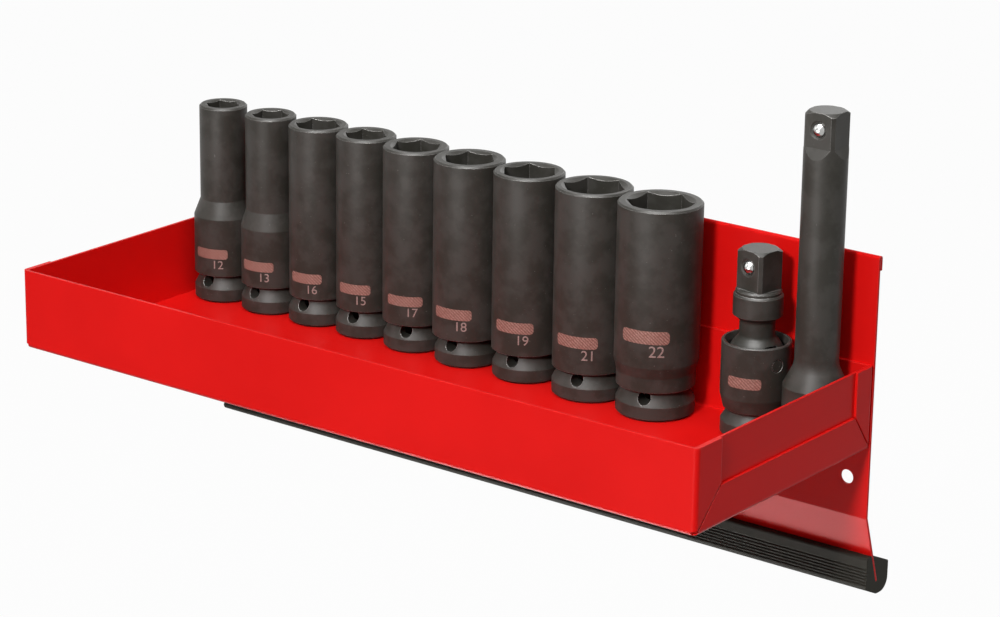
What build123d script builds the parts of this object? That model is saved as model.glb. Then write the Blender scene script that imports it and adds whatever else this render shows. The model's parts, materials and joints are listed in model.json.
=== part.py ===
from build123d import *

import os
from dataclasses import dataclass
from math import cos, radians, sin, sqrt, tan

# A hung shelf tray of folded sheet metal with a set of deep impact sockets, an impact universal joint and
# an extension bar standing in it along the back plate.
#
# Frame, in millimetres: +X to the right seen from the front, +Y to the wall, +Z up. The origin lies midway
# between the two fixing holes, on the rear face of the back plate.

# ---- Folded tray ----
sheet = 1.0  # thickness of every sheet
bend_radius = 0.8  # inside radius of the tray's folds
tray_depth = 114.0  # front face to the rear face of the tray's own rear wall
tray_height = 32.2
front_tab = 15.0  # width of the front wall's tab round each end
rear_tab = 11.0
end_flange = 15.0  # height of the floor's flange up each end
mitre_gap = 0.8  # slot between a tab and the flange at each lower corner

# ---- Back plate and its rubber edge ----
hole_drop = 13.0  # fixing holes below the tray's underside
hole_diameter = 5.5
hole_edge = 9.2  # fixing hole to the plate's end
plate_rise = 73.6  # plate's top above the tray's underside
hem_height = 5.6
hem_gap = 0.3
crease_drop = 27.7  # crease below the tray's underside
crease_radius = 1.5
lip_slant = 18.4  # degrees from the vertical, away from the front
lip_height = 27.6  # crease to the lip's edge, measured down
trim_front_wall = 3.1  # rubber in front of the lip at the trim's top
trim_height = 16.5
trim_foot = 5.3  # rubber below the lip's edge
trim_depth = 15.4  # front face to rear face
trim_shoulder = 5.2  # the trim's top falls by this much to its rear face
trim_face_height = 12.8  # front face, above the underside's slope
trim_slope_depth = 7.6  # the underside slopes down over this depth, and is level behind it
trim_edge_round = 1.0
trim_toe_round = 2.0
trim_keel_round = 5.0
rib_count = 6
rib_pitch = 1.25
rib_foot = 1.9  # lowest groove above the front face's foot
rib_groove = 0.35  # radius of the grooves that leave the ribs

# ---- 1/2 inch square drive, shared by the sockets, the joint and the bar ----
drive_square = 12.7
drive_clearance = 0.2  # recess over the square
corner_diameter = 16.4  # the square's corners are turned down to this
drive_depth = 16.0
drive_lead = 0.3  # the recess's lead-in cone beyond its corners
lead_angle = 30.0  # degrees from the end face, for every lead-in cone
ring_height = 5.6  # base ring round the recess's mouth
ring_chamfer = 1.0
waist_depth = 2.3  # retaining ring's groove, below the base ring's surface
waist_top = 11.5  # underside of the barrel
waist_straight = 1.4
pin_hole_diameter = 5.0
pin_hole_height = 8.8

# ---- Sockets ----
socket_height = 82.0
hex_clearance = 0.3
hex_depth = 32.0
bore_step = 0.7  # the bore below the hexagon is this much inside its flats
rim_chamfer = 0.7
mouth_lead = 0.2

# ---- Universal joint ----
cup_diameter = 26.0
cup_ring_diameter = 25.0
cup_height = 36.4
cup_taper_top = 15.7
cup_waist_top = 10.6
cup_foot_diameter = 23.4  # narrow end of the cup's taper
cup_rim_flare = 0.9
cup_rim_flare_depth = 2.4
cup_rim_break = 0.4  # broken outer edge of the rim
ball_drop = 6.9  # ball's centre below the cup's rim
ball_diameter = 21.4
ball_gap = 0.3
cross_pin_diameter = 5.0
cross_pin_fit = 0.05  # radial, in the cup's bores
cross_pin_chamfer = 0.4
cross_pin_inset = 0.3  # each pin end below the cup's surface
cross_pin_turn = -20.0  # degrees from +X
slot_clearance = 0.15
tilt_limit = 20.0  # degrees each way, about the pin and across it
tilt_margin = 1.5
neck_diameter = 13.3
neck_fillet = 1.6
collar_diameter = 18.6
collar_bottom = 46.2
collar_top = 54.3
collar_cone = 2.0
collar_chamfer = 0.6
boss_diameter = 17.2
boss_top = 56.0
joint_height = 71.2
joint_detent_drop = 6.4  # detent ball below the top
joint_detent_turn = -100.0
joint_hole_turn = 170.0

# ---- Extension bar ----
bar_length = 127.0
bar_diameter = 16.3
bell_diameter = 24.2
bell_top = 24.0
flare_top = 32.0
square_length = 13.0  # flats, from the top
facet_length = 4.0  # sloped run-out of each flat into the bar
bar_detent_drop = 6.3
bar_detent_turn = -87.5
bar_hole_turn = 92.5

# ---- Male squares and their detents ----
square_chamfer_width = 1.6
square_chamfer_height = 1.1
detent_ball_diameter = 5.6
detent_rise = 1.2  # the ball stands this much out of the flat
detent_fit = 0.1
detent_dish_diameter = 7.0  # staked dish round the ball
detent_dish_depth = 0.5
detent_lip = 0.6  # height of the lip that keeps the ball in, below the dish
detent_bore_depth = 9.0
spring_wire = 0.7
spring_turns = 3
spring_gap = 0.5  # spring to the bore's wall
spring_play = 0.05  # spring's last turn to the ball

# ---- Where the pieces stand ----
stand_gap = 0.3  # every piece to the rear wall
row_start = 2.0  # left end plate to the first socket
row_space = 13.2  # last socket to the joint
joint_gap = 0.3  # joint to the bar
bar_end_gap = 2.2  # right end plate to the bar


@dataclass
class SocketForm:
    """One socket: its hexagon, its outside and how it was set down."""

    size: float  # across the flats of the nut
    nut_diameter: float
    ring_diameter: float
    gap: float  # to the socket on its left
    hex_turn: float  # degrees from +X to a corner of the hexagon
    hole_turn: float  # degrees from +X to the pin hole
    shoulder: tuple = ()  # heights between which the barrel goes from the ring's diameter to the nut's

    @property
    def width(self):
        return max(self.nut_diameter, self.ring_diameter)


sockets = [
    SocketForm(12, 19.6, 25.0, 0.0, 23.3, -88.0, (35.5, 42.5)),
    SocketForm(13, 20.8, 25.0, 0.8, 36.4, -90.0, (35.5, 42.5)),
    SocketForm(16, 24.0, 24.6, 0.4, 24.6, -85.5),
    SocketForm(15, 24.0, 24.4, 0.3, 18.7, -79.5),
    SocketForm(17, 26.0, 25.0, 0.8, 57.8, -70.5),
    SocketForm(18, 28.0, 26.0, 0.4, 11.8, -86.5),
    SocketForm(19, 27.6, 26.6, 1.0, 6.7, -81.5),
    SocketForm(21, 29.6, 29.6, 2.7, 17.5, -77.0),
    SocketForm(22, 32.2, 30.0, 0.3, 27.2, -73.5, (17.0, 21.3)),
]

# ---- Worked out from the sizes above: the tray is as long as its row of tools ----
socket_row = row_start + sum(form.gap + form.width for form in sockets)
row_length = socket_row + row_space + cup_diameter + joint_gap + bell_diameter + bar_end_gap
end_wall = 2 * sheet  # a tab or flange of the pan, and the end plate inside it
tray_length = row_length + 2 * end_wall
tray_bottom = hole_drop
floor_top = tray_bottom + sheet
tray_top = tray_bottom + tray_height
tray_rear = -sheet
tray_front = tray_rear - tray_depth
tray_middle = (tray_front + tray_rear) / 2
inner_rear = tray_rear - sheet
end_x = tray_length / 2
inner_end = end_x - end_wall
hole_spacing = tray_length - 2 * hole_edge
recess = drive_square + drive_clearance
recess_mouth = recess / sqrt(2) + drive_lead


def written(piece, name):
    """Label a finished piece and write it as its own file."""
    piece.part.label = name
    export_step(piece.part, f"parts/{name}.step")


def turned(spot, degrees_from_x, height=0.0):
    """A plane over a standing place whose normal points out level, in the given direction."""
    direction = (cos(radians(degrees_from_x)), sin(radians(degrees_from_x)), 0)
    centre = (spot[0], spot[1], spot[2] + height)
    return Plane(origin=centre, x_dir=(-direction[1], direction[0], 0), z_dir=direction)


def section(spot):
    """The vertical plane through a standing place: radius along x, height along y."""
    return Plane(origin=spot, x_dir=(1, 0, 0), z_dir=(0, -1, 0))


def lead_height(radius):
    """How deep a lead-in cone of this mouth radius runs to its point on the axis."""
    return radius * tan(radians(lead_angle))


os.makedirs("parts", exist_ok=True)

# ---- Tray pan: floor, front and rear walls, and both ends' tabs and flanges, folded from one sheet ----
with BuildPart() as tray_pan:
    with BuildSketch(Plane.XY.offset(tray_bottom)):
        with Locations((0, tray_middle)):
            Rectangle(tray_length, tray_depth)
    extrude(amount=tray_height)
    upright_folds = tray_pan.edges().filter_by(Axis.Z)
    floor_folds = tray_pan.edges().group_by(Axis.Z)[0]
    fillet(upright_folds + floor_folds, bend_radius + sheet)
    offset(amount=-sheet, openings=tray_pan.faces().sort_by(Axis.Z)[-1])

    # A relief notch at each lower corner, where three folds meet.
    relief = sheet + bend_radius
    with BuildSketch(Plane.XY.offset(tray_bottom)):
        with Locations((0, tray_middle)):
            with GridLocations(tray_length - relief, tray_depth - relief, 2, 2):
                Rectangle(relief, relief)
    extrude(amount=relief, mode=Mode.SUBTRACT)

    # Each end is open between the tabs, and a slot runs from there to both lower corners.
    front_edge = (tray_front + front_tab, tray_bottom + end_flange)
    rear_edge = (tray_rear - rear_tab, tray_bottom + end_flange)
    with BuildSketch(Plane.YZ) as end_opening:
        with BuildLine():
            Polyline(front_edge, rear_edge, (rear_edge[0], tray_top), (front_edge[0], tray_top), close=True)
        make_face()
        with BuildLine() as front_mitre:
            Line((tray_front, tray_bottom), (front_edge[0] + mitre_gap, front_edge[1] + mitre_gap))
        trace(front_mitre.line, line_width=mitre_gap)
        with BuildLine() as rear_mitre:
            Line((tray_rear, tray_bottom), (rear_edge[0] - mitre_gap, rear_edge[1] + mitre_gap))
        trace(rear_mitre.line, line_width=mitre_gap)
    for end in (end_x, relief - end_x):
        end_cut = end_opening.sketch.moved(Location((end, 0, 0)))
        extrude(end_cut, amount=-relief, mode=Mode.SUBTRACT)
written(tray_pan, "tray_pan")

# ---- End plates: full-height plates inside the tabs and flanges, relieved for the inside of the folds ----
for side, name in ((-1, "end_plate_left"), (1, "end_plate_right")):
    with BuildPart() as end_plate:
        with BuildSketch(Plane.YZ.offset(side * inner_end)) as plate_outline:
            with Locations(((tray_front + sheet + inner_rear) / 2, (floor_top + tray_top) / 2)):
                Rectangle(tray_depth - 2 * sheet, tray_top - floor_top)
            chamfer(plate_outline.vertices().group_by(Axis.Y)[0], bend_radius)
        extrude(amount=side * sheet)
        outer_face = end_plate.faces().filter_by(Axis.X).sort_by(Axis.X, reverse=side > 0)[0]
        chamfer(outer_face.edges().sort_by(Axis.Z)[:-1], bend_radius)
    written(end_plate, name)

# ---- Back plate: hemmed top, crease and a lip that leans back, as one bent strip ----
plate_top = tray_bottom + plate_rise
crease = tray_bottom - crease_drop
lip_run = lip_height * tan(radians(lip_slant))
middle_y = -sheet / 2
crease_point = (middle_y, crease)
lip_point = (middle_y + lip_run, crease - lip_height)
hem_fold_radius = (hem_gap + sheet) / 2
hem_fold_height = plate_top - sheet / 2 - hem_fold_radius
hem_y = hem_gap + sheet / 2

with BuildPart() as back_plate:
    with BuildSketch(Plane.YZ):
        with BuildLine() as plate_path:
            Line((hem_y, plate_top - hem_height), (hem_y, hem_fold_height))
            CenterArc((hem_gap / 2, hem_fold_height), hem_fold_radius, 0, 180)
            FilletPolyline((middle_y, hem_fold_height), crease_point, lip_point, radius=crease_radius)
        trace(plate_path.line, line_width=sheet)
    extrude(amount=tray_length / 2, both=True)
    with Locations(Plane.XZ):
        with GridLocations(hole_spacing, 0, 2, 1):
            Hole(hole_diameter / 2)
written(back_plate, "back_plate")

# ---- Edge trim: rubber strip pushed over the lip, ribbed along the lower part of its front ----
trim_bottom = lip_point[1] - trim_foot
trim_top = trim_bottom + trim_height
trim_toe = trim_top - trim_face_height
lip_lean = tan(radians(lip_slant))
lip_front_at_top = -sheet + (crease - trim_top) * lip_lean
trim_front = lip_front_at_top - trim_front_wall
trim_rear = trim_front + trim_depth
lip_rear_at_top = lip_front_at_top + sheet / cos(radians(lip_slant))

with BuildPart() as edge_trim:
    with BuildSketch(Plane.YZ) as trim_profile:
        toe = (trim_front, trim_toe)
        slope_end = (trim_front + trim_slope_depth, trim_bottom)
        heel = (trim_rear, trim_bottom)
        shoulder = (trim_rear, trim_top - trim_shoulder)
        front_edge = (trim_front, trim_top)
        with BuildLine():
            Polyline(toe, slope_end, heel, shoulder, (lip_rear_at_top, trim_top), front_edge, close=True)
        make_face()
        for corner, radius in (
            (toe, trim_toe_round),
            (slope_end, trim_keel_round),
            (heel, trim_keel_round),
            (shoulder, trim_edge_round),
            (front_edge, trim_edge_round),
        ):
            fillet(trim_profile.vertices().sort_by_distance(corner)[0], radius)
        with BuildLine() as lip_line:
            Line(crease_point, lip_point)
        trace(lip_line.line, line_width=sheet, mode=Mode.SUBTRACT)
        groove_middle = trim_toe + rib_foot + (rib_count - 1) * rib_pitch / 2
        with Locations((trim_front, groove_middle)):
            with GridLocations(0, rib_pitch, 1, rib_count):
                Circle(rib_groove, mode=Mode.SUBTRACT)
    extrude(amount=tray_length / 2, both=True)
written(edge_trim, "edge_trim")


# ---- Shared features of everything with the square drive ----
def foot_outline(ring_radius, barrel_underside):
    """Lower outline of a female drive end, from its axis out round the base ring up to the groove."""
    waist = ring_radius - waist_depth
    Line((0, lead_height(recess_mouth)), (recess_mouth, 0))
    Line((recess_mouth, 0), (ring_radius - ring_chamfer, 0))
    Line((ring_radius - ring_chamfer, 0), (ring_radius, ring_chamfer))
    Line((ring_radius, ring_chamfer), (ring_radius, ring_height))
    Line((ring_radius, ring_height), (waist, barrel_underside - waist_straight))
    Line((waist, barrel_underside - waist_straight), (waist, barrel_underside))
    return waist, barrel_underside


def drive_recess(spot, turn):
    """What a female drive end is hollowed out by: the square and the pin hole through two of its sides."""
    with BuildPart() as hollow:
        with BuildSketch(Plane(origin=spot)):
            Rectangle(recess, recess, rotation=turn)
        extrude(amount=drive_depth)
        with BuildSketch(turned(spot, turn, pin_hole_height)):
            Circle(pin_hole_diameter / 2)
        extrude(amount=cup_diameter, both=True)
    return hollow.part


# ---- Sockets, from the left end of the tray ----
socket_spots = {}
edge = row_start - inner_end
for form in sockets:
    socket_x = edge + form.gap + form.width / 2
    edge = socket_x + form.width / 2
    spot = (socket_x, inner_rear - stand_gap - form.width / 2, floor_top)
    socket_spots[form.size] = spot
    ring_radius = form.ring_diameter / 2
    nut_radius = form.nut_diameter / 2
    barrel_radius = ring_radius if form.shoulder else nut_radius
    hex_flats = form.size + hex_clearance
    mouth_radius = hex_flats / sqrt(3) + mouth_lead

    with BuildPart() as socket:
        with BuildSketch(section(spot)):
            with BuildLine():
                waist_end = foot_outline(ring_radius, waist_top)
                Polyline(
                    waist_end,
                    (barrel_radius, waist_top),
                    *[(r, h) for r, h in zip((barrel_radius, nut_radius), form.shoulder)],
                    (nut_radius, socket_height - rim_chamfer),
                    (nut_radius - rim_chamfer, socket_height),
                    (mouth_radius, socket_height),
                    (0, socket_height - lead_height(mouth_radius)),
                    (0, lead_height(recess_mouth)),
                )
            make_face()
        revolve(axis=Axis(spot, (0, 0, 1)))
        with BuildSketch(Plane(origin=spot).offset(socket_height)):
            RegularPolygon(hex_flats / 2, 6, major_radius=False, rotation=form.hex_turn)
        extrude(amount=-hex_depth, mode=Mode.SUBTRACT)
        with BuildSketch(Plane(origin=spot).offset(drive_depth)):
            Circle(hex_flats / 2 - bore_step)
        extrude(amount=socket_height - hex_depth - drive_depth, mode=Mode.SUBTRACT)
        add(drive_recess(spot, form.hole_turn), mode=Mode.SUBTRACT)
    written(socket, f"socket_{form.size}")

# ---- Places of the bar and the joint, from the right end of the tray ----
bell_radius = bell_diameter / 2
cup_radius = cup_diameter / 2
bar_x = inner_end - bar_end_gap - bell_radius
joint_x = bar_x - bell_radius - joint_gap - cup_radius
bar_spot = (bar_x, inner_rear - stand_gap - bell_radius, floor_top)
joint_spot = (joint_x, inner_rear - stand_gap - cup_radius, floor_top)
corner_radius = corner_diameter / 2


def square_waste(spot, top, turn, flats, run_out, widest):
    """What is milled off a round end to leave the square, with the flats' sloped run-out below."""
    end_face = Plane(origin=spot).offset(top)
    with BuildPart() as waste:
        with BuildSketch(end_face):
            Circle(widest)
        extrude(amount=-(flats + run_out))
        with BuildSketch(end_face):
            Rectangle(drive_square, drive_square, rotation=turn)
        extrude(amount=-flats, mode=Mode.SUBTRACT)
        if run_out:
            with BuildSketch(end_face.offset(-flats)):
                Rectangle(drive_square, drive_square, rotation=turn)
            with BuildSketch(end_face.offset(-flats - run_out)):
                Rectangle(2 * widest, 2 * widest, rotation=turn)
            loft(mode=Mode.SUBTRACT)
    return waste.part


# ---- Ball detents of the two male squares ----
flat_distance = drive_square / 2
detent_radius = detent_ball_diameter / 2
detent_inset = detent_radius - detent_rise
detent_bore = detent_radius + detent_fit
detent_mouth = sqrt(detent_radius**2 - (detent_inset - detent_dish_depth) ** 2) + detent_fit
spring_coil = detent_bore - spring_gap - spring_wire / 2
spring_reach = sqrt((detent_radius + spring_wire / 2 + spring_play) ** 2 - spring_coil**2)


def detent_pocket(spot, height, turn):
    """The bore for a detent's ball and spring, the lip that keeps the ball in and the dish round it."""
    outward = turned(spot, turn, height)
    along = Plane(origin=outward.origin, x_dir=outward.z_dir, z_dir=outward.x_dir)
    with BuildPart() as pocket:
        with BuildSketch(along):
            with BuildLine():
                Polyline(
                    (flat_distance + detent_rise, 0),
                    (flat_distance + detent_rise, detent_dish_diameter / 2),
                    (flat_distance, detent_dish_diameter / 2),
                    (flat_distance - detent_dish_depth, detent_mouth),
                    (flat_distance - detent_dish_depth - detent_lip, detent_bore),
                    (flat_distance - detent_bore_depth, detent_bore),
                    (flat_distance - detent_bore_depth, 0),
                    close=True,
                )
            make_face()
        revolve(axis=Axis(outward.origin, outward.z_dir))
    return pocket.part


def write_detent(spot, height, turn, owner):
    """The ball and the spring behind it."""
    outward = turned(spot, turn, height)
    with BuildPart() as ball:
        with Locations(outward.offset(flat_distance - detent_inset)):
            Sphere(detent_radius)
    written(ball, f"{owner}_detent_ball")

    bore_floor = flat_distance - detent_bore_depth + spring_wire / 2
    spring_end = flat_distance - detent_inset - spring_reach
    with BuildPart() as spring:
        with BuildLine() as coil:
            Helix(
                pitch=(spring_end - bore_floor) / spring_turns,
                height=spring_end - bore_floor,
                radius=spring_coil,
                center=outward.offset(bore_floor).origin,
                direction=outward.z_dir,
            )
        with BuildSketch(Plane(origin=coil.line @ 0, z_dir=coil.line % 0)):
            RegularPolygon(spring_wire / 2, 6)
        sweep(path=coil.line, is_frenet=True)
    written(spring, f"{owner}_detent_spring")


# ---- Universal joint: a cup, a ball-ended drive head in it and the cross pin through both ----
joint_centre = cup_height - ball_drop
joint_detent_height = joint_height - joint_detent_drop
ball_radius = ball_diameter / 2
cup_bore = ball_radius + ball_gap
pin_radius = cross_pin_diameter / 2
neck_radius = neck_diameter / 2
neck_foot = joint_centre + sqrt(ball_radius**2 - neck_radius**2)
collar_radius = collar_diameter / 2
boss_radius = boss_diameter / 2

with BuildPart() as joint_cup:
    with BuildSketch(section(joint_spot)):
        with BuildLine():
            waist_end = foot_outline(cup_ring_diameter / 2, cup_waist_top)
            Polyline(
                waist_end,
                (cup_foot_diameter / 2, cup_waist_top),
                (cup_radius, cup_taper_top),
                (cup_radius, cup_height - cup_rim_break),
                (cup_radius - cup_rim_break, cup_height),
                (cup_bore + cup_rim_flare, cup_height),
                (cup_bore, cup_height - cup_rim_flare_depth),
                (cup_bore, joint_centre),
            )
            CenterArc((0, joint_centre), cup_bore, 0, -90)
            Line((0, joint_centre - cup_bore), (0, lead_height(recess_mouth)))
        make_face()
    revolve(axis=Axis(joint_spot, (0, 0, 1)))
    with BuildSketch(turned(joint_spot, cross_pin_turn, joint_centre)):
        Circle(pin_radius + cross_pin_fit)
    extrude(amount=cup_diameter, both=True, mode=Mode.SUBTRACT)
    add(drive_recess(joint_spot, joint_hole_turn), mode=Mode.SUBTRACT)
written(joint_cup, "joint_cup")

with BuildPart() as joint_cross_pin:
    with BuildSketch(turned(joint_spot, cross_pin_turn, joint_centre)):
        Circle(pin_radius)
    extrude(amount=cup_radius - cross_pin_inset, both=True)
    chamfer(joint_cross_pin.edges().filter_by(GeomType.CIRCLE), cross_pin_chamfer)
written(joint_cross_pin, "joint_cross_pin")

# The pin's slot widens to both sides, so that the head also leans across the pin.
lean = radians(tilt_limit + tilt_margin)
slot_waist = (pin_radius + slot_clearance) / cos(lean)
slot_end = slot_waist + cup_radius * tan(lean)

with BuildPart() as joint_drive_head:
    with BuildSketch(section(joint_spot)) as head_profile:
        with BuildLine():
            RadiusArc((0, joint_centre - ball_radius), (neck_radius, neck_foot), -ball_radius)
            Polyline(
                (neck_radius, neck_foot),
                (neck_radius, collar_bottom - collar_cone),
                (collar_radius, collar_bottom),
                (collar_radius, collar_top - collar_chamfer),
                (collar_radius - collar_chamfer, collar_top),
                (boss_radius, collar_top),
                (boss_radius, boss_top - collar_chamfer),
                (boss_radius - collar_chamfer, boss_top),
                (corner_radius, boss_top),
                (corner_radius, joint_height - square_chamfer_height),
                (corner_radius - square_chamfer_width, joint_height),
                (0, joint_height),
                (0, joint_centre - ball_radius),
            )
        make_face()
        for height in (neck_foot, collar_bottom - collar_cone):
            fillet(head_profile.vertices().sort_by_distance((neck_radius, height))[0], neck_fillet)
    revolve(axis=Axis(joint_spot, (0, 0, 1)))
    flats = joint_height - boss_top
    joint_waste = square_waste(joint_spot, joint_height, joint_detent_turn, flats, 0, boss_radius)
    add(joint_waste, mode=Mode.SUBTRACT)
    pin_direction = turned(joint_spot, cross_pin_turn, joint_centre).z_dir
    across_pin = Plane(
        origin=(joint_spot[0], joint_spot[1], joint_spot[2] + joint_centre),
        x_dir=pin_direction,
        z_dir=(pin_direction.Y, -pin_direction.X, 0),
    )
    with BuildSketch(across_pin):
        with BuildLine():
            Polyline(
                (-cup_radius, -slot_end),
                (0, -slot_waist),
                (cup_radius, -slot_end),
                (cup_radius, slot_end),
                (0, slot_waist),
                (-cup_radius, slot_end),
                close=True,
            )
        make_face()
    extrude(amount=pin_radius + slot_clearance, both=True, mode=Mode.SUBTRACT)
    add(detent_pocket(joint_spot, joint_detent_height, joint_detent_turn), mode=Mode.SUBTRACT)
written(joint_drive_head, "joint_drive_head")
write_detent(joint_spot, joint_detent_height, joint_detent_turn, "joint")

# ---- Extension bar: a bell with the square recess below, a plain round bar and a male square on top ----
bar_radius = bar_diameter / 2
bar_detent_height = bar_length - bar_detent_drop

with BuildPart() as extension_bar:
    with BuildSketch(section(bar_spot)) as bar_profile:
        with BuildLine():
            waist_end = foot_outline(bell_radius, waist_top)
            Polyline(
                waist_end,
                (bell_radius, waist_top),
                (bell_radius, bell_top),
                (bar_radius, flare_top),
                (bar_radius, bar_length - square_chamfer_height),
                (bar_radius - square_chamfer_width, bar_length),
                (0, bar_length),
                (0, lead_height(recess_mouth)),
            )
        make_face()
        flare_corner = bar_profile.vertices().sort_by_distance((bar_radius, flare_top))[0]
        fillet(flare_corner, bar_radius)
    revolve(axis=Axis(bar_spot, (0, 0, 1)))
    bar_waste = square_waste(bar_spot, bar_length, bar_detent_turn, square_length, facet_length, bar_radius)
    add(bar_waste, mode=Mode.SUBTRACT)
    add(drive_recess(bar_spot, bar_hole_turn), mode=Mode.SUBTRACT)
    add(detent_pocket(bar_spot, bar_detent_height, bar_detent_turn), mode=Mode.SUBTRACT)
written(extension_bar, "extension_bar")
write_detent(bar_spot, bar_detent_height, bar_detent_turn, "extension")
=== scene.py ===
# %% [markdown]
# # A shelf tray with a row of deep sockets
#
# The real object is a tray of folded sheet metal, powder-coated in a glossy red. It hangs by a tall back
# plate, and its lower lip leans back into a rubber edge. Eleven tools of blackened steel stand in it.
#
# The solids arrive at their real size and place, so this lesson is about what makes them look made: broken
# edges that catch the light, the finish of each material, and the marks that are etched into the steel.

# %% Load the frame
import json
import math

import bpy
from mathutils import Matrix, Vector


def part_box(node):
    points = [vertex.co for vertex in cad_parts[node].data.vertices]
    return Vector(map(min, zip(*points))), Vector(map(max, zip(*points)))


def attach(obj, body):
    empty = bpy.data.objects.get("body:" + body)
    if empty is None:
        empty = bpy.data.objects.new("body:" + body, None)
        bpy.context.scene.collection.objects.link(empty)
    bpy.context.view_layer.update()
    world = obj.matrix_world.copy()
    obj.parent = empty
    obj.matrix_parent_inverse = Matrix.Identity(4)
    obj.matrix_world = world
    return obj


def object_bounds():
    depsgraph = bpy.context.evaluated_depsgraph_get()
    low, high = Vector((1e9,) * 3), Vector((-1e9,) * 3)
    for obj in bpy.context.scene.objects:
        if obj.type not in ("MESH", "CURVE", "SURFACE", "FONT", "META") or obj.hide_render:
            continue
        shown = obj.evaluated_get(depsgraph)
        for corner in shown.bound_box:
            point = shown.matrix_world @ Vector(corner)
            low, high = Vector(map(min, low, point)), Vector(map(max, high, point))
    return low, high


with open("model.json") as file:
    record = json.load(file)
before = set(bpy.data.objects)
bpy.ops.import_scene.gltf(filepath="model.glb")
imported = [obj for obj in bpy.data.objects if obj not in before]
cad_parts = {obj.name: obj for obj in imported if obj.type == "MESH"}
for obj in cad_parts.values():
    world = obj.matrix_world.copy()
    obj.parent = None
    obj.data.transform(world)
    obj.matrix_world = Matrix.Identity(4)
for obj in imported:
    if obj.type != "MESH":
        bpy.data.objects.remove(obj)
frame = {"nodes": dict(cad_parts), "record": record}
cad_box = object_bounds()
MM = 0.001
print(len(frame["nodes"]), "solids from", tuple(cad_box[0]), "to", tuple(cad_box[1]))

# %% [markdown]
# ## The camera
#
# The photograph was taken from the right and above with a long lens, so parallel edges stay nearly parallel.
# A camera can be placed by angles, but it is easier to reason about by directions: where it looks, which way
# is up, and what is left over. The same helper turns the lamps later.

# %% Camera
camera_place = Vector((732.4, -979.7, 425.3)) * MM
camera_ahead = Vector((-0.5759, 0.7585, -0.3049))
camera_up = Vector((-0.1958, 0.2341, 0.9523))
camera_lens_mm = 117.56
camera_sensor_mm = 36
nearest_seen = 50 * MM


def aimed(place, ahead, up):
    """A matrix that stands at a place and looks ahead, with its top towards up."""
    back = -ahead.normalized()
    right = up.cross(back).normalized()
    top = back.cross(right)
    turn = Matrix((right, top, back)).transposed()
    return Matrix.Translation(place) @ turn.to_4x4()


bpy.ops.object.camera_add()
camera = bpy.context.object
camera.name = "camera"
camera.matrix_world = aimed(camera_place, camera_ahead, camera_up)
camera.data.lens = camera_lens_mm
camera.data.sensor_width = camera_sensor_mm
camera.data.sensor_fit = "HORIZONTAL"
camera.data.clip_start = nearest_seen
bpy.context.scene.camera = camera
print("camera", round(camera_place.length, 3), "m away, lens", camera_lens_mm, "mm")

# %% [markdown]
# ## Shader maths as plain expressions
#
# A procedural finish is a small sum: this much noise, that much wear near an edge. Node trees hide the sum,
# so a wrapped socket overloads the operators, and each expression adds the Math nodes that it needs. Every
# other node comes from one method, which takes the node's type, its settings and the values of its sockets.


# %% Sockets that add and multiply
class Level:
    """One output in a node tree, such as a mask or a height."""

    def __init__(self, shading, socket):
        self.shading = shading
        self.socket = socket

    def math(self, operation, *others, clamp=False):
        settings = {"operation": operation, "use_clamp": clamp}
        return self.shading.node("ShaderNodeMath", settings, dict(enumerate((self, *others))))

    def __add__(self, other):
        return self.math("ADD", other)

    def __mul__(self, other):
        return self.math("MULTIPLY", other)

    def __rsub__(self, other):
        return (self * -1) + other

    __radd__ = __add__
    __rmul__ = __mul__

    def clamped(self):
        return self.math("ADD", 0.0, clamp=True)

    def ramp(self, low, high):
        """0 below low, 1 above high, smooth between."""
        settings = {"interpolation_type": "SMOOTHSTEP"}
        values = {"Value": self, "From Min": low, "From Max": high}
        return self.shading.node("ShaderNodeMapRange", settings, values)


class Shading:
    """A node tree under construction."""

    def __init__(self, tree):
        self.tree = tree

    def node(self, kind, settings, values, output=0):
        """Add a node: its settings first, then a value or a link for each of its sockets."""
        made = self.tree.nodes.new(kind)
        for name, value in settings.items():
            setattr(made, name, value)
        for name, value in values.items():
            self.feed(made.inputs[name], value)
        return Level(self, made.outputs[output])

    def feed(self, socket, value):
        """Link a level to a socket, or set the socket to a plain value."""
        if isinstance(value, Level):
            self.tree.links.new(value.socket, socket)
        else:
            socket.default_value = value


# %% [markdown]
# ## What every finish is made of
#
# A finish needs only a few ingredients. Noise gives blotches of a known width. The Bevel node gives the
# direction that the surface would have if its edges were slightly rounded, as every real edge is. Where that
# direction departs from the true one there is an edge, and that is where paint thins and steel is rubbed;
# the paler colour put there is also a painted highlight along the edge. Modelled bevels could do this too,
# but the solids stay as they came, and it would cost many faces.

# %% A finish
bevel_samples = 6
middle_band = (0.35, 0.65)  # between these, noise goes from one colour to the other


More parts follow.
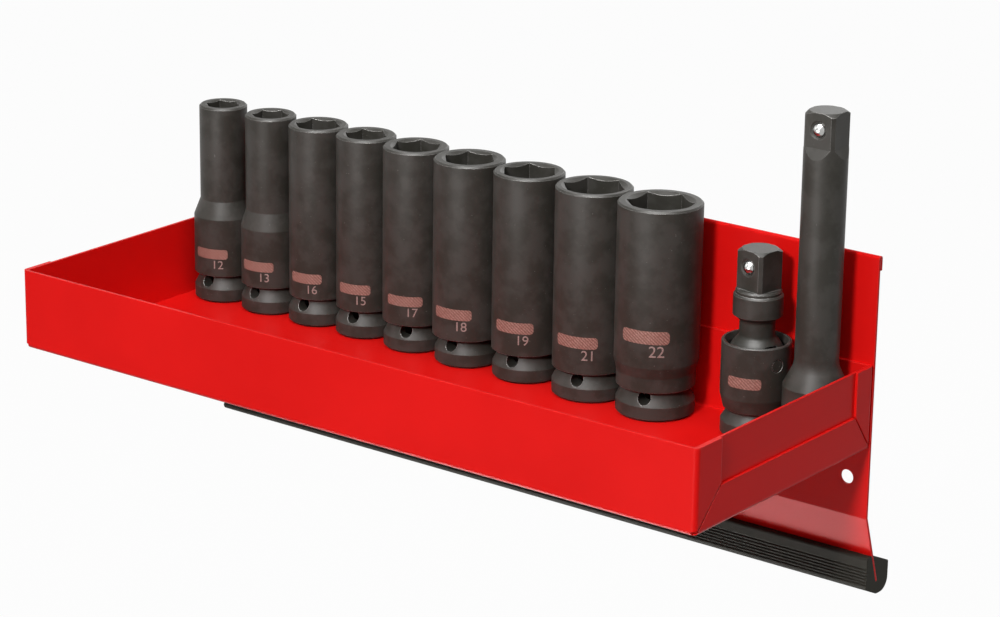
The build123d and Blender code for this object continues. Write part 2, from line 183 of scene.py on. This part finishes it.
class Finish(Shading):
    """A material: its tree, its surface shader, and where on the piece it is asked for."""

    def __init__(self, name):
        self.material = bpy.data.materials.new(name)
        self.material.use_nodes = True
        super().__init__(self.material.node_tree)
        self.shader = self.tree.nodes["Principled BSDF"]
        self.place = self.node("ShaderNodeTexCoord", {}, {}, "Object")

    def noise(self, size_mm, detail=2.0, roughness=0.5, stretch=(1, 1, 1)):
        """Noise from about 0.3 to 0.7 whose blotches are about size_mm wide."""
        scaled = self.node("ShaderNodeVectorMath", {"operation": "MULTIPLY"}, {0: self.place, 1: stretch})
        values = {"Vector": scaled, "Scale": 1 / (size_mm * MM), "Detail": detail, "Roughness": roughness}
        return self.node("ShaderNodeTexNoise", {}, values)

    def axis(self, letter):
        """How far along X, Y or Z the point lies, in metres."""
        return self.node("ShaderNodeSeparateXYZ", {}, {0: self.place}, letter)

    def rounded(self, radius_mm):
        """The surface's direction as if every edge had this radius."""
        return self.node("ShaderNodeBevel", {"samples": bevel_samples}, {"Radius": radius_mm * MM})

    def near_edge(self, rounded):
        """0 on flats, up to about 0.3 on a square edge: how far the rounding turns the surface."""
        true = self.node("ShaderNodeNewGeometry", {}, {}, "Normal")
        both = {0: rounded, 1: true}
        agreement = self.node("ShaderNodeVectorMath", {"operation": "DOT_PRODUCT"}, both, "Value")
        return 1 - agreement

    def mix(self, amount, first, second):
        """A colour between two, by a mask."""
        return self.node("ShaderNodeMix", {"data_type": "RGBA"}, {0: amount, 6: first, 7: second}, 2)

    def bumped(self, height, depth_mm, rounded):
        """The rounded surface's direction once a height between 0 and 1 is raised by a depth."""
        values = {"Strength": 1.0, "Distance": depth_mm * MM, "Height": height, "Normal": rounded}
        return self.node("ShaderNodeBump", {}, values)

    def wear(self, **sockets):
        """Give the surface shader its values, by names with _ for a space."""
        for name, value in sockets.items():
            self.feed(self.shader.inputs[name.replace("_", " ")], value)
        print("finish", self.material.name, "of", len(self.tree.nodes), "nodes")
        return self.material


# %% [markdown]
# ## Red powder coat
#
# Powder melts into a thick skin, never quite flat: it keeps a fine orange peel. The colour itself is even,
# so the character comes from a soft bump, from a roughness that drifts a little over the sheet, and from
# edges, which are painted paler: partly the skin running thin there, partly a painted highlight along each
# edge. A flat red with no bump would look like plastic.

# %% Red powder coat
coat_red = (0.72, 0.0075, 0.0065, 1)
coat_deep_red = (0.67, 0.0065, 0.0056, 1)
# A paler red for the edges: thin coat there, and also a painted highlight along each edge.
coat_thin_and_highlight_red = (0.82, 0.045, 0.040, 1)
coat_thin_and_highlight_share = 0.8  # how far a sharp edge goes to the pale red of thin coat and painted highlight
coat_edge_mm = 0.45
coat_edge_band = (0.02, 0.20)
coat_drift_mm = 60
peel_mm = 1.1
peel_depth_mm = 0.010
speck_mm = 0.25
speck_share = 0.15  # of the peel's height


def red_powder_coat():
    finish = Finish("glossy_red_coat")
    drift = finish.noise(coat_drift_mm, detail=3.0)
    peel = finish.noise(peel_mm, detail=1.0)
    specks = finish.noise(speck_mm, detail=0.0)
    rounded = finish.rounded(coat_edge_mm)
    # Edge mask for the paler red: partly thin coat, partly a painted highlight along the edge.
    thin_and_highlight = finish.near_edge(rounded).ramp(*coat_edge_band)
    even = finish.mix(drift.ramp(*middle_band), coat_deep_red, coat_red)
    return finish.wear(
        Base_Color=finish.mix(thin_and_highlight * coat_thin_and_highlight_share, even, coat_thin_and_highlight_red),
        Roughness=0.22 + 0.10 * drift + 0.05 * specks,
        Specular_IOR_Level=0.05,
        Normal=finish.bumped(peel + speck_share * specks, peel_depth_mm, rounded),
    )


coat_finish = red_powder_coat()

# %% [markdown]
# ## Blackened steel
#
# Impact tools are turned, hardened and then blackened in a phosphate bath. The skin is dark, slightly warm
# and finely grained, oil leaves cloudy patches in it, and the turning marks run round the tool, so they
# change only with height: their noise is stretched sideways fifty times. Where tools knock together, the
# black rubs through to grey, mostly at edges, and here and there in a nick. The grey along the edges is
# also a painted highlight; the nicks are wear only.

# %% Blackened steel
black_skin = (0.044, 0.041, 0.036, 1)
oily_skin = (0.030, 0.028, 0.023, 1)
# Grey for rubbed steel, used along the edges also as a painted highlight.
rubbed_steel_and_highlight = (0.34, 0.33, 0.32, 1)
rubbing_and_highlight = 0.85  # how far a rubbed edge goes to grey, which is also a painted highlight
steel_edge_mm = 0.35
steel_edge_band = (0.015, 0.14)
cloud_mm = 9
cloud_band = (0.38, 0.62)
grain_mm = 0.35
grain_band = (0.30, 0.60)
nick_mm = 0.9
nick_band = (0.70, 0.74)
turning_mm = 0.5
round_the_tool = (0.02, 0.02, 1)
steel_relief_mm = 0.015


def black_steel():
    finish = Finish("blackened_steel")
    clouds = finish.noise(cloud_mm, detail=3.0, roughness=0.6)
    grain = finish.noise(grain_mm, detail=2.0)
    nicks = finish.noise(nick_mm, detail=3.0, roughness=0.7).ramp(*nick_band)
    turning = finish.noise(turning_mm, detail=2.0, stretch=round_the_tool)
    rounded = finish.rounded(steel_edge_mm)
    edge = finish.near_edge(rounded).ramp(*steel_edge_band)
    # Grey mask: along edges it is rubbed wear and a painted highlight; the nicks are wear only.
    rubbed_and_highlit = (edge * grain.ramp(*grain_band) + 0.5 * nicks).clamped()
    skin = finish.mix(clouds.ramp(*cloud_band), oily_skin, black_skin)
    return finish.wear(
        Base_Color=finish.mix(rubbed_and_highlit * rubbing_and_highlight, skin, rubbed_steel_and_highlight),
        Metallic=0.4 * rubbed_and_highlit,
        Roughness=0.36 + 0.10 * grain + 0.08 * clouds,
        Specular_IOR_Level=0.16,
        Normal=finish.bumped(0.6 * turning + 0.4 * grain, steel_relief_mm, rounded),
    )


tool_finish = black_steel()

# %% [markdown]
# ## Rubber and ball steel
#
# The edge trim is a plain extruded rubber, dull with a faint bloom. The detent balls are bearing balls:
# bright, smooth and small, so they only need to mirror what is round them, a little greyer than new.

# %% Rubber and ball steel
rubber_black = (0.018, 0.016, 0.012, 1)
rubber_bloom = (0.027, 0.025, 0.019, 1)
bloom_mm = 14
rubber_grain_mm = 0.4
rubber_grain_depth_mm = 0.02
rubber_edge_mm = 0.5
ball_grey = (0.42, 0.42, 0.41, 1)
ball_haze_mm = 1.5


def edge_rubber():
    finish = Finish("edge_rubber")
    bloom = finish.noise(bloom_mm, detail=3.0)
    grain = finish.noise(rubber_grain_mm, detail=1.0)
    return finish.wear(
        Base_Color=finish.mix(bloom.ramp(*middle_band), rubber_black, rubber_bloom),
        Roughness=0.50 + 0.16 * bloom,
        Specular_IOR_Level=0.07,
        Normal=finish.bumped(grain, rubber_grain_depth_mm, finish.rounded(rubber_edge_mm)),
    )


def ball_steel():
    finish = Finish("ball_steel")
    haze = finish.noise(ball_haze_mm, detail=2.0)
    return finish.wear(Base_Color=ball_grey, Metallic=1.0, Roughness=0.16 + 0.08 * haze)


trim_finish = edge_rubber()
ball_finish = ball_steel()

# %% [markdown]
# ## Each solid gets the finish of its material
#
# The record names a material for every solid, so the finishes are handed out by that name. They could be
# given piece by piece, but then a solid that is added later would be forgotten.

# %% Hand out the finishes
finishes = {
    "red_powder_coat": coat_finish,
    "black_steel": tool_finish,
    "black_rubber": trim_finish,
    "bright_steel": ball_finish,
}
slot_of = {part["node"]: part["material_slot"] for part in frame["record"]["subparts"]}
for node, solid in frame["nodes"].items():
    solid.data.materials.clear()
    solid.data.materials.append(finishes[slot_of[node]])
for slot in finishes:
    print(slot, "on", sum(slot_of[node] == slot for node in frame["nodes"]), "solids")

# %% [markdown]
# ## Marks etched in the steel
#
# Each socket carries its size, etched through the black so that the bare steel shows pinkish grey, and above
# it a long etched patch with a fine slanting hatch. The joint's cup has a patch too. The material could
# paint them, but a thin piece keeps sharp edges at any distance.

# %% What is etched, and where


class SizeMark:
    """A socket's size, and the patch above it."""

    def __init__(self, size, barrel_mm, turn, height_mm, tall_mm=3.5):
        self.node = f"socket_{size}"
        self.text = str(size)
        self.radius = barrel_mm / 2 * MM
        self.turn = turn  # degrees from +X to the number's middle
        self.height = height_mm * MM  # foot of the socket to the number's middle
        self.tall = tall_mm * MM


size_marks = [
    SizeMark(12, 25.0, -60.6, 16.6),
    SizeMark(13, 25.0, -62.7, 16.1),
    SizeMark(16, 24.0, -62.4, 15.9),
    SizeMark(15, 24.0, -60.0, 16.3),
    SizeMark(17, 26.0, -55.5, 17.2),
    SizeMark(18, 28.0, -62.5, 17.6, 3.7),
    SizeMark(19, 27.6, -59.2, 18.0, 3.8),
    SizeMark(21, 29.6, -60.1, 19.2, 3.9),
    SizeMark(22, 32.2, -55.6, 28.2, 4.3),
]
mark_rise = 0.03 * MM  # a patch's face above the barrel, and half of a number's
patch_share = 0.6  # patch length, of the barrel's diameter
patch_tall = 1.18  # of the number's height
patch_gap = 0.6 * MM
patch_overhang = 1.9 * MM  # patch beyond the number's right end

cup_radius = 13.0 * MM
cup_patch_length = 13.5 * MM
cup_patch_tall = 4.2 * MM
cup_patch_turn = -77.3
cup_patch_height = 22.8 * MM
print(len(size_marks), "numbers and", len(size_marks) + 1, "patches to etch")

# %% [markdown]
# ## The two etched finishes
#
# Etched steel is frosted: a fine noise between two pinkish greys. The patch is warmer, and crossed by
# slanting lines. A sine of the distance along a slanting direction gives them, and it needs no image.

# %% Etched finishes
etched_dark = (0.21, 0.15, 0.135, 1)
etched_pale = (0.36, 0.28, 0.26, 1)
patch_dark = (0.24, 0.125, 0.10, 1)
patch_pale = (0.36, 0.22, 0.185, 1)
hatch_brown = (0.13, 0.062, 0.05, 1)
hatch_pitch = 1.3 * MM
hatch_strength = 0.7
hatch_band = (0.0, 0.8)
frost_band = (0.3, 0.7)
across_share = 0.7  # X and Y both run partly across the barrel's front


def etched_steel():
    finish = Finish("etched_steel")
    frost = finish.noise(0.25, detail=1.0)
    return finish.wear(
        Base_Color=finish.mix(frost.ramp(*frost_band), etched_dark, etched_pale),
        Metallic=0.3,
        Roughness=0.45 + 0.2 * frost,
        Specular_IOR_Level=0.2,
    )


def hatched_patch():
    finish = Finish("hatched_patch")
    frost = finish.noise(0.5, detail=2.0)
    along = finish.axis("X") * across_share + finish.axis("Y") * across_share + finish.axis("Z")
    hatch = (along * (2 * math.pi / hatch_pitch)).math("SINE")
    ground = finish.mix(frost.ramp(*frost_band), patch_dark, patch_pale)
    return finish.wear(
        Base_Color=finish.mix(hatch_strength * hatch.ramp(*hatch_band), ground, hatch_brown),
        Metallic=0.3,
        Roughness=0.45 + 0.15 * frost,
        Specular_IOR_Level=0.2,
    )


number_finish = etched_steel()
patch_finish = hatched_patch()

# %% [markdown]
# ## A piece wound round a barrel
#
# A flat piece can be wrapped by Shrinkwrap, which needs the barrel, or bent by Simple Deform, which needs
# only the radius. Bending is exact here: a piece as long as the angle times the radius becomes an arc of
# that radius. So each mark is made upright at the origin with its face to the front, bent, and then moved
# out to the barrel and turned round it. Its place is applied at the end, so that its object stays at the
# origin.


# %% Wind a piece round a barrel
def chosen_alone(piece):
    """Select one piece and nothing else, because operators act on all that is selected."""
    bpy.ops.object.select_all(action="DESELECT")
    piece.select_set(True)
    bpy.context.view_layer.objects.active = piece


def placed(piece, matrix):
    """Put a piece somewhere and leave the place in its mesh."""
    piece.matrix_world = matrix
    chosen_alone(piece)
    bpy.ops.object.transform_apply(location=True, rotation=True, scale=True)


def wound(piece, tool, finish, radius, turn, height):
    """Bend an upright piece to a radius and set it on a tool, whose name is its node's and its body's."""
    bend = piece.modifiers.new("bend", "SIMPLE_DEFORM")
    bend.deform_method = "BEND"
    bend.deform_axis = "Z"
    bend.angle = piece.dimensions.x / radius
    chosen_alone(piece)
    bpy.ops.object.modifier_apply(modifier=bend.name)
    low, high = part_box(tool)
    foot = Vector(((low[0] + high[0]) / 2, (low[1] + high[1]) / 2, low[2]))
    to_front = Matrix.Translation((0, -radius, 0))
    round_barrel = Matrix.Rotation(math.radians(turn + 90), 4, "Z")
    placed(piece, Matrix.Translation(foot + Vector((0, 0, height))) @ round_barrel @ to_front)
    piece.data.materials.clear()
    piece.data.materials.append(finish)
    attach(piece, tool)


# %% [markdown]
# ## A number
#
# The numbers are plain, so Blender's own font does. Text starts as a curve. It is made a mesh, measured,
# brought to its height and thickness, and cut finely enough to bend. A quarter turn about X stands it up
# with its face to the front.

# %% A number, upright and flat
text_depth = 0.01  # of the text before it is scaled
merge_distance = 0.001 * MM
number_cuts = 2


def number_piece(text, tall):
    """An upright number, as tall as asked, and its width."""
    bpy.ops.object.select_all(action="DESELECT")
    bpy.ops.object.text_add()
    lettering = bpy.context.object
    lettering.data.body = text
    lettering.data.extrude = text_depth
    bpy.ops.object.convert(target="MESH")
    piece = bpy.context.object
    corners = [Vector(corner) for corner in piece.bound_box]
    low = Vector(min(corner[i] for corner in corners) for i in range(3))
    high = Vector(max(corner[i] for corner in corners) for i in range(3))
    scale = tall / (high.y - low.y)
    stand_up = Matrix.Rotation(math.radians(90), 4, "X")
    shrink = Matrix.Diagonal((scale, scale, mark_rise / text_depth, 1))
    placed(piece, stand_up @ shrink @ Matrix.Translation(-(low + high) / 2))
    placed(piece, Matrix.Translation((0, -mark_rise, 0)))
    bpy.ops.object.mode_set(mode="EDIT")
    bpy.ops.mesh.select_all(action="SELECT")
    bpy.ops.mesh.remove_doubles(threshold=merge_distance)
    bpy.ops.mesh.quads_convert_to_tris()
    bpy.ops.mesh.subdivide(number_cuts=number_cuts)
    bpy.ops.object.mode_set(mode="OBJECT")
    return piece, (high.x - low.x) * scale


# %% [markdown]
# ## A patch
#
# A cube could be flattened, but a plane is simpler to round: it is stood up at its size, its four corners
# are bevelled, and it is cut into upright strips, because a piece only bends where it has edges. Then an
# extrusion inwards gives it its thickness.

# %% A patch, upright and flat
corner_share = 0.3  # corner radius, of the patch's height
corner_segments = 4
patch_strips = 24


def patch_piece(length, tall):
    """An upright plate with rounded corners."""
    bpy.ops.object.select_all(action="DESELECT")
    bpy.ops.mesh.primitive_plane_add(size=1)
    piece = bpy.context.object
    stand_up = Matrix.Rotation(math.radians(90), 4, "X")
    placed(piece, Matrix.Translation((0, -mark_rise, 0)) @ stand_up @ Matrix.Diagonal((length, tall, 1, 1)))
    bpy.ops.object.mode_set(mode="EDIT")
    bpy.ops.mesh.select_all(action="SELECT")
    bpy.ops.mesh.bevel(offset=corner_share * tall, segments=corner_segments, affect="VERTICES")
    for strip in range(1, patch_strips):
        bpy.ops.mesh.select_all(action="SELECT")
        across = (strip / patch_strips - 0.5) * length
        bpy.ops.mesh.bisect(plane_co=(across, 0, 0), plane_no=(1, 0, 0))
    bpy.ops.mesh.select_all(action="SELECT")
    bpy.ops.mesh.extrude_region_move(TRANSFORM_OT_translate={"value": (0, 2 * mark_rise, 0)})
    bpy.ops.mesh.select_all(action="SELECT")
    bpy.ops.mesh.normals_make_consistent(inside=False)
    bpy.ops.object.mode_set(mode="OBJECT")
    return piece


# %% [markdown]
# ## Etching the tools
#
# A number sits low on its socket, and its patch a little above it. A patch is longer than its number and
# ends a little past the number's right end, so it is placed by that end: its middle is turned back to the
# left.

# %% Etch the sockets and the cup
for mark in size_marks:
    number, number_width = number_piece(mark.text, mark.tall)
    number.name = f"{mark.node}_size"
    wound(number, mark.node, number_finish, mark.radius, mark.turn, mark.height)
    patch_length = patch_share * 2 * mark.radius
    patch = patch_piece(patch_length, patch_tall * mark.tall)
    patch.name = f"{mark.node}_patch"
    shift = patch_length / 2 - number_width / 2 - patch_overhang
    patch_turn = mark.turn - math.degrees(shift / mark.radius)
    patch_height = mark.height + (1 + patch_tall) / 2 * mark.tall + patch_gap
    wound(patch, mark.node, patch_finish, mark.radius, patch_turn, patch_height)
    print(mark.node, "number", round(number_width / MM, 2), "mm wide, patch", round(patch_length / MM, 1))

cup_patch = patch_piece(cup_patch_length, cup_patch_tall)
cup_patch.name = "joint_cup_patch"
wound(cup_patch, "joint_cup", patch_finish, cup_radius, cup_patch_turn, cup_patch_height)
print("joint_cup patch", round(cup_patch_length / MM, 1))

# %% [markdown]
# ## Lamps
#
# One small lamp in front and above throws the tools' shadows on the back plate, and large weak panels fill
# the rest. Dark steel shows little by its colour: it is drawn by what it mirrors. Three panels therefore
# light nothing and only show in reflections, which adds the long soft highlight on each tool, the bright
# rims and the sheen on the lower lip without making any colour paler.


# %% Lamps
def lamp(name, azimuth, elevation, distance, size, power, gloss_only=False):
    """A square lamp, turned to the tray; azimuth runs from the front towards the right."""
    turn, lift = math.radians(azimuth), math.radians(elevation)
    outward = Vector((math.sin(turn) * math.cos(lift), -math.cos(turn) * math.cos(lift), math.sin(lift)))
    bpy.ops.object.light_add(type="AREA")
    made = bpy.context.object
    made.name = name
    made.matrix_world = aimed(outward * distance, -outward, Vector((0, 0, 1)))
    made.data.size = size
    made.data.energy = power
    made.visible_camera = False
    made.visible_diffuse = not gloss_only
    print(name, power, "W, seen", "in reflections only" if gloss_only else "on everything")


# degrees, degrees, metres, metres, watts
lamp("key_lamp", 13, 31, 1.6, 0.22, 17.5)
lamp("left_panel", -50, 25, 1.5, 0.9, 4)
lamp("right_panel", 95, 20, 1.5, 0.8, 0.9)
lamp("top_panel", 20, 75, 1.5, 1.0, 10.5)
lamp("back_panel", 190, 30, 1.5, 1.0, 7)
lamp("top_sheen", 20, 65, 1.5, 1.0, 110, gloss_only=True)
lamp("front_sheen", 0, -10, 1.3, 0.8, 13, gloss_only=True)
lamp("low_sheen", -31, -58, 0.365, 0.25, 2.8, gloss_only=True)

# %% [markdown]
# ## A white room and its floor
#
# The room is white to the eye and to whatever mirrors it, but it lights the tray only weakly, so that
# shadows keep their depth. The tray hangs, so the floor lies well below it. The floor is grey paper to the
# light and nearly white to the eye.

# %% Room
room_white = (1, 1, 1, 1)
room_light = 0.2


def seen_or_mirrored(shading):
    """1 for what the camera, a mirror or glass shows, and 0 for light on its way to a surface."""
    rays = ("Is Camera Ray", "Is Glossy Ray", "Is Transmission Ray")
    camera_ray, glossy_ray, clear_ray = (shading.node("ShaderNodeLightPath", {}, {}, ray) for ray in rays)
    return camera_ray.math("MAXIMUM", glossy_ray).math("MAXIMUM", clear_ray)


world = bpy.data.worlds.new("white_room")
bpy.context.scene.world = world
world.use_nodes = True
room = Shading(world.node_tree)
background = world.node_tree.nodes["Background"]
room.feed(background.inputs["Color"], room_white)
room.feed(background.inputs["Strength"], room_light + (1 - room_light) * seen_or_mirrored(room))
bpy.context.scene.view_settings.view_transform = "Standard"
print("room lights the tray at", room_light, "and shows as 1")

# %% Floor
floor_size = 16
floor_drop = 0.4  # metres of air under the tray
floor_grey = (0.35, 0.35, 0.35, 1)
floor_whiteness = 0.97  # the rest is the lit paper, which holds the shadow


def floor_paper():
    finish = Finish("floor_paper")
    paper = Level(finish, finish.shader.outputs[0])
    white = finish.node("ShaderNodeEmission", {}, {"Strength": 1.0})
    whiteness = floor_whiteness * seen_or_mirrored(finish)
    shown = finish.node("ShaderNodeMixShader", {}, {0: whiteness, 1: paper, 2: white})
    finish.feed(finish.tree.nodes["Material Output"].inputs["Surface"], shown)
    return finish.wear(Base_Color=floor_grey, Roughness=0.9, Specular_IOR_Level=0.0)


bpy.ops.object.select_all(action="DESELECT")
bpy.ops.mesh.primitive_plane_add(size=floor_size, location=(0, 0, cad_box[0][2] - floor_drop))
floor = bpy.context.object
floor.name = "floor"
floor.data.materials.append(floor_paper())
print("floor", round(cad_box[0][2] - floor_drop, 3), "m from the frame's origin")
